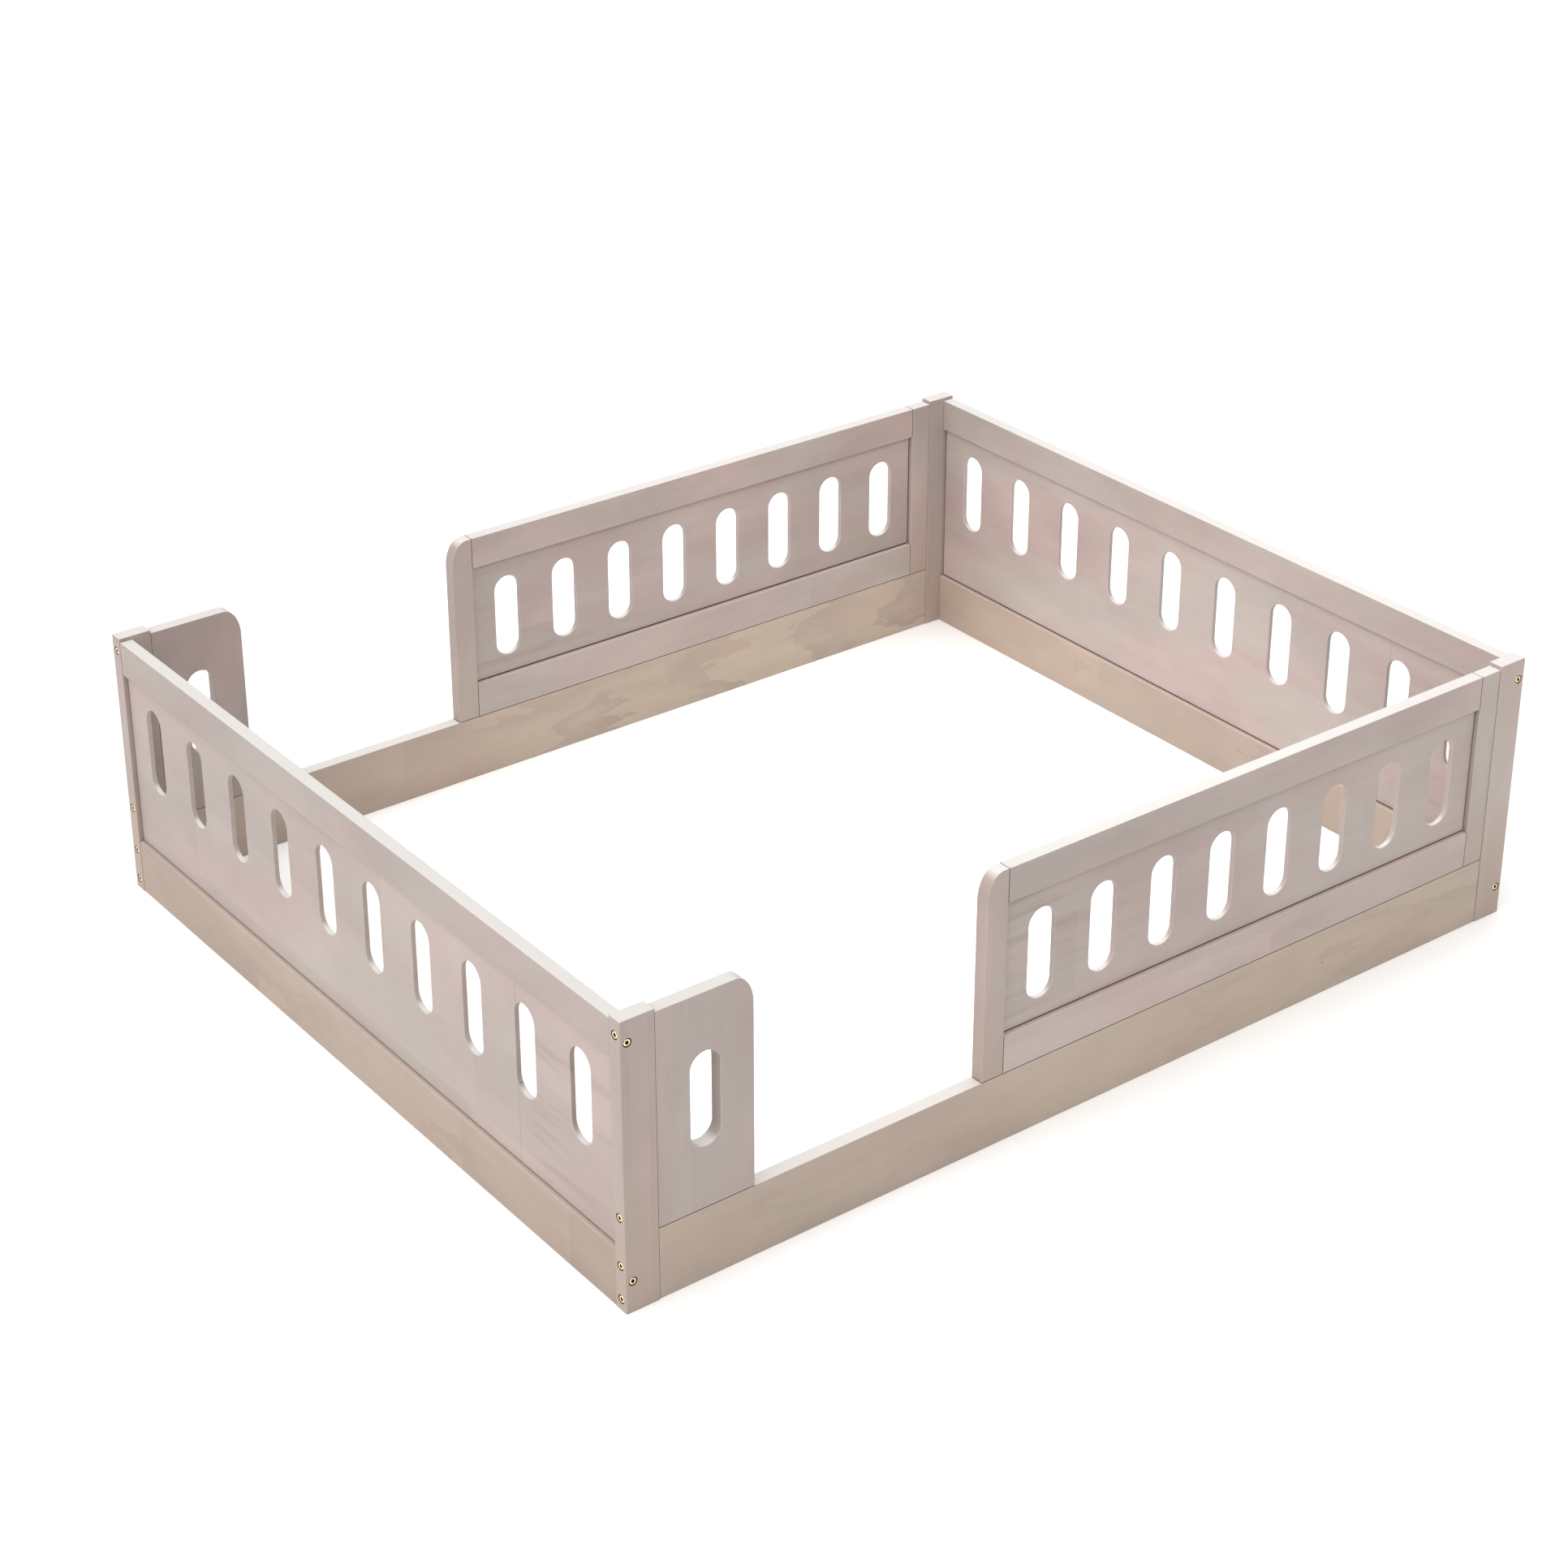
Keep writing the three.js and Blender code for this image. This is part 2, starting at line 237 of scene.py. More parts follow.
class PlaypenStage(bpy.types.PropertyGroup):
    """Camera place, light strengths and the floor."""

    azimuth: number("Azimuth", "Camera turn about the pen, degrees", -37.283)
    elevation: number("Elevation", "Camera height angle, degrees", 25.866)
    distance: number("Distance", "Camera to its aim point", 7.1367, "LENGTH")
    aim_x: number("Aim X", "Aim point on the floor", 0.6725, "LENGTH")
    aim_y: number("Aim Y", "Aim point on the floor", 0.9722, "LENGTH")
    lens: number("Lens", "Focal length in millimetres", 73.237)
    rise: number("Shift", "Vertical lens shift, in frame widths", -0.1)
    overhead: number("Overhead", "Strength of the wide light from above", 3.3)
    softness: number("Softness", "Width of the light from above, degrees", 90.0)
    side: number("Side", "Power of the left softbox", 46.0, "POWER")
    fill: number("Fill", "Power of the right and back softboxes", 32.0, "POWER")
    inner: number("Inner", "Power of the light inside the pen", 6.0, "POWER")
    sky: number("Sky", "Strength of the white surround", 0.33)
    floor_white: colour("Floor", "Pale floor paint", paint(249, 249, 248))


# ---------------------------------------------------------------- meshes


def arc(centre_a, centre_b, radius, start, sweep, steps):
    """Points along part of a circle; start and sweep are in degrees."""
    points = []
    for i in range(steps + 1):
        turn = math.radians(start + sweep * i / steps)
        across = centre_a + radius * math.cos(turn)
        points.append(Vector((across, centre_b + radius * math.sin(turn))))
    return points


def rect(low_a, low_b, high_a, high_b, radius, steps):
    """A rectangle with small round corners, counter-clockwise."""
    corners = (
        (high_a - radius, low_b + radius, -90),
        (high_a - radius, high_b - radius, 0),
        (low_a + radius, high_b - radius, 90),
        (low_a + radius, low_b + radius, 180),
    )
    points = []
    for centre_a, centre_b, start in corners:
        points += arc(centre_a, centre_b, radius, start, 90, steps)
    return points


def stadium(centre_a, centre_b, width, height, steps):
    """An upright slot with half-round ends, clockwise as a hole has to be."""
    radius = width / 2
    reach = height / 2 - radius
    upper = arc(centre_a, centre_b + reach, radius, 180, -180, steps)
    return upper + arc(centre_a, centre_b - reach, radius, 0, -180, steps)


def outward(points):
    """Mitred outward directions of a loop, so that an offset keeps its width round corners."""
    result = []
    count = len(points)
    for i in range(count):
        before = (points[i] - points[i - 1]).normalized()
        after = (points[(i + 1) % count] - points[i]).normalized()
        first = Vector((before.y, -before.x))
        second = Vector((after.y, -after.x))
        result.append((first + second) / max(0.2, 1 + first.dot(second)))
    return result


def eased_wall(half, ease, steps):
    """Rows of (offset into the wood, height, worn wash with painted highlight, painted shade) from the
    upper face to the lower one.
    """
    upper = []
    for i in range(steps + 1):
        turn = math.pi / 2 * i / steps
        wear = math.sin(2 * turn)
        upper.append((ease * (1 - math.sin(turn)), half - ease * (1 - math.cos(turn)), wear, 0.0))
    lower = [(offset, -height, wear, seam) for offset, height, wear, seam in reversed(upper)]
    return upper + lower


def tongued_wall(half, ease, steps, gap, tongue):
    """The same for a panel edge that steps in to a tongue and leaves a shadow gap; the tongue rows get
    painted shade to darken the gap.
    """
    rows = eased_wall(half, ease, steps)
    middle = len(rows) // 2
    tip = -(gap - TONGUE_CLEARANCE)
    step = [
        (0.0, tongue, 0.0, 1.0),
        (tip, tongue, 0.0, 1.0),
        (tip, -tongue, 0.0, 1.0),
        (0.0, -tongue, 0.0, 1.0),
    ]
    return rows[:middle] + step + rows[middle:]


def place_for(axis, centre):
    """Turns (a, b, height) of a board drawing into the shared frame; axis is the way it is thick."""
    if axis == "x":
        return lambda a, b, height: Vector((centre + height, a, b))
    if axis == "y":
        return lambda a, b, height: Vector((a, centre - height, b))
    return lambda a, b, height: Vector((a, b, centre + height))


def solid(loops, place):
    """A closed board from its outline and holes. loops is [(points, rows)], the outline first."""
    mesh = bmesh.new()
    wear = mesh.verts.layers.float.new("wear")
    seam = mesh.verts.layers.float.new("seam")
    caps = ([], [])
    for points, rows in loops:
        away = outward(points)
        rings = []
        for offset, height, worn, joint in rows:
            ring = []
            for point, direction in zip(points, away):
                spot = point - direction * offset
                vert = mesh.verts.new(place(spot.x, spot.y, height))
                # worn is the worn wash with painted highlight on a round
                vert[wear] = worn
                # joint here is the row's painted shade, for joints and shadow gaps
                vert[seam] = joint
                ring.append(vert)
            rings.append(ring)
        count = len(points)
        for upper, lower in zip(rings, rings[1:]):
            for i in range(count):
                j = (i + 1) % count
                mesh.faces.new((upper[i], lower[i], lower[j], upper[j]))
        caps[0].append((rings[0], points, away, rows[0][0]))
        caps[1].append((rings[-1], points, away, rows[-1][0]))
    for cap in caps:
        flat = []
        verts = []
        for ring, points, away, offset in cap:
            flat.append([(p - d * offset).to_3d() for p, d in zip(points, away)])
            verts.extend(ring)
        for triangle in tessellate_polygon(flat):
            mesh.faces.new([verts[i] for i in triangle])
    bmesh.ops.recalc_face_normals(mesh, faces=mesh.faces)
    return mesh


def made_mesh(name, mesh):
    """The finished mesh of a bmesh, which is freed."""
    data = bpy.data.meshes.new(name)
    mesh.to_mesh(data)
    mesh.free()
    return data


def added(name, data):
    """A new object in the scene."""
    item = bpy.data.objects.new(name, data)
    bpy.context.scene.collection.objects.link(item)
    return item


def shown_box(name):
    """A node's box without the tenons that the stiles hide."""
    low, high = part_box(name)
    kind, _, side = name.rpartition("_")
    if kind in ("top_rail", "bottom_rail") and side in SIDES:
        low.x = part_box("gate_stile_" + side)[1].x + SEAM
        high.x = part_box("post_stile_" + side)[0].x - SEAM
    return low, high


BOXES = {name: shown_box(name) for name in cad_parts}


def limits(name):
    low, high = shown_box(name)
    return low, high, (low + high) / 2


def neighbours(name):
    """The boxes of all the boards but one."""
    return [box for other, box in BOXES.items() if other != name and not other.startswith(HARDWARE)]


def touches(name, point, reach):
    """True where a point of one board lies against another board."""
    for low, high in neighbours(name):
        if all(low[i] - reach <= point[i] <= high[i] + reach for i in range(3)):
            return True
    return False


# the parts of a place that run along, across and through a board
GRAIN = {"x": (0, 2, 1), "y": (1, 2, 0), "z": (2, 0, 1)}


def finish_piece(
    mesh, node, along, material, joints=None, ledge=0.0, reach=BOARD_REACH
):
    """Turns a bmesh into the piece that stands for a CAD node, with its grain laid along one axis.
    joints gives the distances past each board joint at a point; ledge is the painted shade that dims an
    upward face beside a panel, and reach is how near another board a point gets painted shade."""
    name = node + "_board"
    data = made_mesh(name, mesh)
    rng = random.Random("grain " + name)
    shift = Vector([rng.uniform(0, 40) for _ in range(3)])
    order = GRAIN[along]
    data.attributes.new("grain", "FLOAT_VECTOR", "POINT")
    data.attributes.new("joint", "FLOAT_VECTOR", "POINT")
    data.attributes.new("board", "FLOAT", "POINT")
    grain, joint, board, seam = (data.attributes[key] for key in ("grain", "joint", "board", "seam"))
    top = BOXES[node][1].z - 0.01 * MM
    for i, vert in enumerate(data.vertices):
        grain.data[i].vector = Vector([vert.co[k] for k in order]) + shift
        joint.data[i].vector = joints(vert.co) if joints else NO_JOINTS
        # brightness of this board: partly its own tone, partly painted light and shade
        board.data[i].value = BOARD_TONES_AND_PAINTED_LIGHT.get(node, 1.0)
        # painted shade: a dimmed ledge beside a panel, and dark wood wherever a board lies against
        # another
        if ledge and vert.co.z > top:
            seam.data[i].value = ledge
        elif touches(node, vert.co, reach):
            seam.data[i].value = 1.0
    data.shade_smooth()
    data.set_sharp_from_angle(angle=CRISP_WOOD)
    piece = added(name, data)
    smooth = piece.modifiers.new("Even shading", "WEIGHTED_NORMAL")
    smooth.keep_sharp = True
    data.materials.append(material)
    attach(piece, "root")
    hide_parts(node)
    return piece


def split_edges(points, name, place, reach=BOARD_REACH):
    """Adds outline points where a neighbour begins or ends, so the painted shade of a joint stays where
    boards touch.
    """
    result = []
    count = len(points)
    for i in range(count):
        start = points[i]
        end = points[(i + 1) % count]
        result.append(start)
        run = end - start
        if run.length < 8 * MM:
            continue
        cuts = set()
        first = place(start.x, start.y, 0)
        last = place(end.x, end.y, 0)
        axis = max(range(3), key=lambda k: abs(last[k] - first[k]))
        for low, high in neighbours(name):
            aside = [k for k in range(3) if k != axis]
            if not all(low[k] - reach <= first[k] <= high[k] + reach for k in aside):
                continue
            for edge in (low[axis], high[axis]):
                spot = (edge - first[axis]) / (last[axis] - first[axis])
                for nudge in (-SEAM_NUDGE, SEAM_NUDGE):
                    at = spot + nudge / run.length
                    if 0.004 < at < 0.996:
                        cuts.add(round(at, 5))
        for at in sorted(cuts):
            result.append(start + run * at)
    return result


# ---------------------------------------------------------------- materials


class Wiring:
    """Adds shader nodes to one material and joins them up."""

    def __init__(self, name):
        self.material = bpy.data.materials.new(name)
        self.material.use_nodes = True
        self.tree = self.material.node_tree
        self.tree.nodes.clear()

    def add(self, kind, inputs=None, out=0, **settings):
        node = self.tree.nodes.new(kind)
        for key, value in settings.items():
            setattr(node, key, value)
        for key, value in (inputs or {}).items():
            socket = node.inputs[key]
            if isinstance(value, bpy.types.NodeSocket):
                self.tree.links.new(value, socket)
            else:
                socket.default_value = value
        return node.outputs[out]

    def sum(self, kind, first, second=0.5, third=0.5):
        return self.add("ShaderNodeMath", {0: first, 1: second, 2: third}, operation=kind)

    def scale(self, vector, factors):
        return self.add("ShaderNodeVectorMath", {0: vector, 1: factors}, operation="MULTIPLY")

    def noise(self, vector, detail=2.0, roughness=0.5, distortion=0.0):
        inputs = {"Vector": vector, "Scale": 1.0, "Detail": detail, "Roughness": roughness}
        inputs["Distortion"] = distortion
        return self.add("ShaderNodeTexNoise", inputs)

    def spread(self, value, low, high, to_low=0.0, to_high=1.0):
        inputs = {0: value, 1: low, 2: high, 3: to_low, 4: to_high}
        return self.add("ShaderNodeMapRange", inputs, interpolation_type="SMOOTHSTEP")

    def blend(self, factor, first, second, kind="MIX"):
        inputs = {0: factor, 6: first, 7: second}
        return self.add("ShaderNodeMix", inputs, out=2, data_type="RGBA", blend_type=kind)

    def parts(self, value):
        node = self.tree.nodes.new("ShaderNodeSeparateXYZ")
        self.tree.links.new(value, node.inputs[0])
        return node.outputs

    def grey(self, value):
        return self.add("ShaderNodeCombineColor", {0: value, 1: value, 2: value})

    def shader(self, inputs):
        surface = self.add("ShaderNodeBsdfPrincipled", inputs)
        self.add_output(surface)
        return self.material

    def add_output(self, surface):
        node = self.tree.nodes.new("ShaderNodeOutputMaterial")
        self.tree.links.new(surface, node.inputs["Surface"])


def rgba(value):
    return (*value, 1.0)


def whitewashed(name, main, patch, flame, figure, staves, line, foot=0.0):
    """Satin whitewash over boards: patches, glued staves, figure, fibres, specks and worn edges, with
    painted highlight on upward faces and arrises and painted shade in joints, gaps and bolt seats.
    """
    finish = bpy.context.scene.playpen_finish
    w = Wiring(name)
    grain = w.add("ShaderNodeAttribute", out=1, attribute_name="grain")
    joint = w.parts(w.add("ShaderNodeAttribute", out=1, attribute_name="joint"))
    wear = w.add("ShaderNodeAttribute", out=2, attribute_name="wear")
    seam = w.add("ShaderNodeAttribute", out=2, attribute_name="seam")
    along, across, _ = w.parts(grain)
    past_first = w.spread(joint[0], -0.5 * MM, 0.5 * MM)
    past_second = w.spread(joint[1], -0.5 * MM, 0.5 * MM, 1.0, 0.0)
    zone = w.sum("MULTIPLY", past_first, past_second)
    # soft patches of pink and grey
    patches = w.noise(w.scale(grain, (3.0, 7.0, 7.0)), 2.0, 0.5, 0.3)
    tone = w.blend(w.spread(patches, 0.36, 0.64), rgba(main), rgba(patch))
    broad = w.noise(w.scale(grain, (2.2, 4.4, 4.4)), 3.0, 0.55)
    # per-board brightness, partly the board's own tone and partly painted light and shade
    board = w.add("ShaderNodeAttribute", out=2, attribute_name="board")
    mottle = w.sum("MULTIPLY", w.spread(broad, 0.34, 0.66, 0.92, 1.08), board)
    tone = w.blend(1.0, tone, w.grey(mottle), "MULTIPLY")
    # staves joined end to end, each of its own tone
    row = w.sum("FLOOR", w.sum("MULTIPLY", across, 1 / staves))
    run = w.sum("ADD", w.sum("MULTIPLY", along, 1.3), w.sum("MULTIPLY", row, 7.37))
    stave = w.tree.nodes.new("ShaderNodeTexVoronoi")
    stave.voronoi_dimensions = "1D"
    w.tree.links.new(run, stave.inputs["W"])
    stave.inputs["Scale"].default_value = 1.0
    shade = w.parts(stave.outputs["Color"])
    tone = w.blend(w.sum("MULTIPLY", shade[0], 0.4), tone, rgba(patch))
    tone = w.blend(1.0, tone, w.grey(w.spread(shade[1], 0.0, 1.0, 0.95, 1.025)), "MULTIPLY")
    tone = w.blend(w.sum("MULTIPLY", zone, 0.12), tone, rgba(flame))
    # flamed figure with one crisp, ragged side
    field = w.noise(w.scale(grain, (2.4, 7.0, 7.0)), 5.0, 0.56, 0.1)
    ring = w.sum("FRACT", w.sum("MULTIPLY", field, 5.0))
    crisp = w.spread(ring, 0.0, 0.03)
    fade = w.spread(ring, 0.25, 0.95, 1.0, 0.0)
    reach = w.sum("MULTIPLY", w.spread(zone, 0.0, 1.0, 0.2, 1.0), figure)
    flames = w.sum("MULTIPLY", w.sum("MULTIPLY", crisp, fade), reach)
    tone = w.blend(flames, tone, rgba(flame))
    # warmer towards the floor
    facing = w.tree.nodes.new("ShaderNodeNewGeometry")
    low = w.spread(w.parts(facing.outputs["Position"])[2], 0.0, 400 * MM, foot, 0.0)
    tone = w.blend(low, tone, rgba(finish.rail_tan))
    # darker streaks along the grain
    streak = w.noise(w.scale(grain, (2.6, 44.0, 44.0)), 4.0, 0.6, 0.2)
    streaked = w.sum("MULTIPLY", w.spread(streak, 0.48, 0.72), w.spread(joint[2], 0.0, 0.3, 0.06, 0.32))
    tone = w.blend(streaked, tone, rgba(finish.knot_brown))
    # cloudy wash and fine fibres
    cloud = w.noise(w.scale(grain, (5.0, 12.0, 12.0)), 4.0, 0.6)
    tone = w.blend(1.0, tone, w.grey(w.spread(cloud, 0.25, 0.75, 0.945, 1.04)), "MULTIPLY")
    fibre = w.noise(w.scale(grain, (16.0, 620.0, 620.0)), 3.0, 0.62)
    tone = w.blend(1.0, tone, w.grey(w.spread(fibre, 0.25, 0.75, 0.978, 1.015)), "MULTIPLY")
    pores = w.noise(w.scale(grain, (85.0, 2300.0, 2300.0)), 1.0, 0.5)
    pore = w.spread(pores, 0.66, 0.76, 0.0, 0.22)
    tone = w.blend(pore, tone, rgba(finish.knot_brown))
    # a few pin knots
    spots = w.tree.nodes.new("ShaderNodeTexVoronoi")
    w.tree.links.new(w.scale(grain, (7.0, 11.0, 11.0)), spots.inputs["Vector"])
    spots.inputs["Scale"].default_value = 1.0
    chosen = w.sum("GREATER_THAN", w.parts(spots.outputs["Color"])[2], 0.72)
    dot = w.spread(spots.outputs["Distance"], 0.012, 0.034, 0.75, 0.0)
    tone = w.blend(w.sum("MULTIPLY", chosen, dot), tone, rgba(finish.knot_brown))
    # painted highlight on upward faces, worn wash with painted highlight on arrises, and painted shade
    # in brown inside the joints
    top = w.spread(w.parts(facing.outputs["Normal"])[2], 0.55, 0.97, 0.0, 0.86)
    top = w.sum("MULTIPLY", top, w.spread(seam, 0.0, 0.1, 1.0, 0.0))
    rub_and_highlight = w.sum("MULTIPLY", wear, w.spread(cloud, 0.3, 0.7, 0.1, 0.3))
    tone = w.blend(w.sum("MAXIMUM", top, rub_and_highlight), tone, rgba(finish.highlight_and_wear_white))
    # a dimmer pink painted highlight on ledges that a panel shades
    tone = w.blend(w.spread(seam, 0.0, 0.1, 0.0, 0.6), tone, rgba(finish.ledge_dim_highlight))
    glue = w.spread(w.sum("ABSOLUTE", joint[0]), 0.1 * MM, 0.8 * MM, line, 0.0)
    # painted shade in brown inside joints, shadow gaps and bolt seats, with the boards' glue lines
    dark = w.sum("MAXIMUM", w.spread(seam, 0.15, 0.85, 0.0, 0.97), glue)
    tone = w.blend(dark, tone, rgba(finish.painted_shade_brown))
    rough = w.spread(cloud, 0.2, 0.8, finish.satin - 0.07, finish.satin + 0.09)
    height = w.sum("ADD", w.sum("MULTIPLY", fibre, 0.7), w.sum("MULTIPLY", pore, -1.2))
    bump = w.add("ShaderNodeBump", {"Strength": 0.22, "Distance": 0.25 * MM, "Height": height})
    inputs = {"Base Color": tone, "Roughness": rough, "Normal": bump, "Specular IOR Level": 0.42}
    return w.shader(inputs)


def bare_beech(name):
    """Plain dowel wood with its grain along the dowel."""
    finish = bpy.context.scene.playpen_finish
    w = Wiring(name)
    spot = w.add("ShaderNodeTexCoord", out=3)
    fibre = w.noise(w.scale(spot, (900.0, 900.0, 30.0)), 3.0, 0.6)
    fleck = w.noise(w.scale(spot, (1400.0, 1400.0, 220.0)), 1.0, 0.5)
    tone = w.blend(1.0, rgba(finish.beech), w.grey(w.spread(fibre, 0.2, 0.8, 0.82, 1.06)), "MULTIPLY")
    tone = w.blend(w.spread(fleck, 0.6, 0.7, 0.0, 0.35), tone, rgba(finish.knot_brown))
    bump = w.add("ShaderNodeBump", {"Strength": 0.3, "Distance": 0.1 * MM, "Height": fibre})
    rough = w.spread(fibre, 0.2, 0.8, 0.55, 0.72)
    return w.shader({"Base Color": tone, "Roughness": rough, "Normal": bump})


def turned_brass(name):
    """Lacquered brass with faint turning marks and a little tarnish."""
    finish = bpy.context.scene.playpen_finish
    w = Wiring(name)
    spot = w.add("ShaderNodeTexCoord", out=3)
    tarnish = w.noise(w.scale(spot, (160.0, 160.0, 160.0)), 3.0, 0.6)
    scratch = w.noise(w.scale(spot, (900.0, 900.0, 4200.0)), 2.0, 0.6)
    dull = rgba(paint(206, 162, 98))
    tone = w.blend(w.spread(tarnish, 0.45, 0.75, 0.0, 0.25), rgba(finish.brass), dull)
    rough = w.spread(scratch, 0.2, 0.8, 0.16, 0.3)
    bump = w.add("ShaderNodeBump", {"Strength": 0.25, "Distance": 0.05 * MM, "Height": scratch})
    return w.shader({"Base Color": tone, "Metallic": 1.0, "Roughness": rough, "Normal": bump})


def painted_shade_socket(name):
    """Near-black dull brass down in the sockets: painted shade in the hollow, mottled with grime."""
    w = Wiring(name)
    spot = w.add("ShaderNodeTexCoord", out=3)
    grime = w.noise(w.scale(spot, (700.0, 700.0, 700.0)), 3.0, 0.6)
    tone = w.blend(w.spread(grime, 0.35, 0.65), rgba(paint(20, 13, 7)), rgba(paint(40, 27, 15)))
    bump = w.add("ShaderNodeBump", {"Strength": 0.3, "Distance": 0.05 * MM, "Height": grime})
    inputs = {"Base Color": tone, "Roughness": w.spread(grime, 0.2, 0.8, 0.6, 0.85), "Normal": bump}
    inputs["Specular IOR Level"] = 0.15
    return w.shader(inputs)


def stock(name, make, *values):
    """Makes each finish once and hands it out after that."""
    return bpy.data.materials.get(name) or make(name, *values)


def wood(kind):
    """One of the whitewashed woods: main tone, patches and figure, strength of the figure,
    stave width, strength of the glue lines and, on posts, of the warmth by the floor."""
    finish = bpy.context.scene.playpen_finish
    pink, grey, tan = finish.wash_pink, finish.wash_grey, finish.rail_tan
    recipes = {
        "panel": (pink, grey, pink, 0.1, 0.16, 0.45),
        "post": (pink, grey, finish.rail_flame, 0.1, 0.033, 0.0, 0.7),
        "rail": (tan, finish.end_flame, finish.rail_flame, finish.figure, 0.4, 0.0),
        "end rail": (finish.end_tan, tan, finish.end_flame, finish.figure, 0.4, 0.0),
    }
    return stock("whitewashed " + kind, whitewashed, *recipes[kind])


# ---------------------------------------------------------------- pieces


def all_made(step, made, wanted):
    """Ends a step, or stops the script when a piece is missing."""
    if made != wanted:
        raise RuntimeError(f"{step.bl_label}: made {made} pieces of {wanted}")
    return {"FINISHED"}


def plank(name, along, shape, material, joints=None, ledge=0.0):
    """A plain board with eased arrises, drawn end on and run along its length."""
    low, high, middle = limits(name)
    ease = shape.board_ease
    order = {"x": (1, 2), "y": (0, 2), "z": (0, 1)}[along]
    run = "xyz".index(along)
    a, b = order
    points = rect(low[a], low[b], high[a], high[b], ease, shape.ease_steps)
    half = (high[run] - low[run]) / 2
    rows = eased_wall(half, ease * BOARD_END_EASE, shape.ease_steps)
    mesh = solid([(points, rows)], place_for(along, middle[run]))
    return finish_piece(mesh, name, along, material, joints, ledge)


def base_figure(spot):
    """Plain veneer by the doorway that slowly turns flamed under the slotted panel."""
    return ((spot.x - FIGURE_START) * FIGURE_RISE, NEVER, NEVER)


def three_boards(spot):
    """An end rail glued up from three lengths."""
    return (spot.y + THIRD_BOARD, spot.y - THIRD_BOARD, NEVER)


def near_gate(spot):
    """Streaked wood that fades out away from the doorway."""
    return (NEVER, NEVER, STREAKS_END - spot.x)


def two_boards(spot):
    """An end panel glued up from a long and a short board, the short one streaked."""
    past = SHORT_BOARD - spot.y
    return (past, NEVER, past * SHORT_BOARD_STREAKS)


class PLAYPEN_OT_posts(bpy.types.Operator):
    """Corner posts with eased arrises and stepped seats for the bolts"""

    bl_idname = "playpen.posts"
    bl_label = "Make the corner posts"

    def execute(self, context):
        shape = context.scene.playpen_shape
        made = 0
        for side in SIDES:
            for end in ENDS:
                self.post(shape, f"{side}_{end}")
                made += 1
        return all_made(self, made, 4)

    def post(self, shape, corner):
        name = "post_" + corner
        low, high, middle = limits(name)
        points = rect(low.x, low.y, high.x, high.y, shape.post_ease, shape.ease_steps)
        rows = eased_wall(middle.z, shape.post_ease * POST_END_EASE, shape.ease_steps)
        mesh = solid([(points, rows)], place_for("z", middle.z))
        piece = finish_piece(mesh, name, "z", wood("post"), reach=POST_REACH)
        cutters = []
        seats = []
        for kind, count in BOLTS:
            for place in range(1, count + 1):
                bolt = f"{kind}_bolt_{corner}_{place}"
                cutters.append(seat_cutter(bolt, shape))
                seats.append(bolt_axis(bolt))
        bore(piece, cutters, seats)


def bolt_axis(name):
    """Where a bolt's head meets its post and which way the bolt points in."""
    low, high, middle = limits(name)
    if name.startswith("edge"):
        inward = -1.0 if middle.x > 0 else 1.0
        outer = high.x if middle.x > 0 else low.x
        return Vector((outer, middle.y, middle.z)), Vector((inward, 0, 0))
    inward = -1.0 if middle.y > 0 else 1.0
    outer = high.y if middle.y > 0 else low.y
    return Vector((middle.x, outer, middle.z)), Vector((0, inward, 0))


def turned(rings, count, origin, inward, shapes=None):
    """A closed turned part. rings is [(radius, depth)] from the outer face in.
    shapes may swap the outline of a ring, by its number."""
    mesh = bmesh.new()
    side = Vector((0, 0, 1)).cross(inward)
    up = Vector((0, 0, 1))
    made = []
    for index, (radius, depth) in enumerate(rings):
        outline = (shapes or {}).get(index)
        ring = []
        for i in range(count):
            turn = 2 * math.pi * i / count
            reach = radius * (outline(turn) if outline else 1.0)
            spot = origin + side * (reach * math.cos(turn)) + up * (reach * math.sin(turn))
            ring.append(mesh.verts.new(spot + inward * depth))
        made.append(ring)
    for first, second in zip(made, made[1:]):
        for i in range(count):
            j = (i + 1) % count
            mesh.faces.new((first[i], first[j], second[j], second[i]))
    mesh.faces.new(made[0])
    mesh.faces.new(made[-1])
    bmesh.ops.recalc_face_normals(mesh, faces=mesh.faces)
    return mesh


def seat_cutter(bolt, shape):
    """The counterbore that a bolt head sits in, flared a little at its mouth."""
    origin, inward = bolt_axis(bolt)
    face = origin - inward * 0.4 * MM
    bore_radius = HEAD_RADIUS + shape.seat_gap
    rings = [
        (bore_radius + 1.4 * MM, -1.0 * MM),
        (bore_radius + 0.4 * MM, 0.0),
        (bore_radius, 0.4 * MM),
        (bore_radius, HEAD_THICKNESS + 0.6 * MM),
    ]
    return turned(rings, SEAT_STEPS, face, inward)


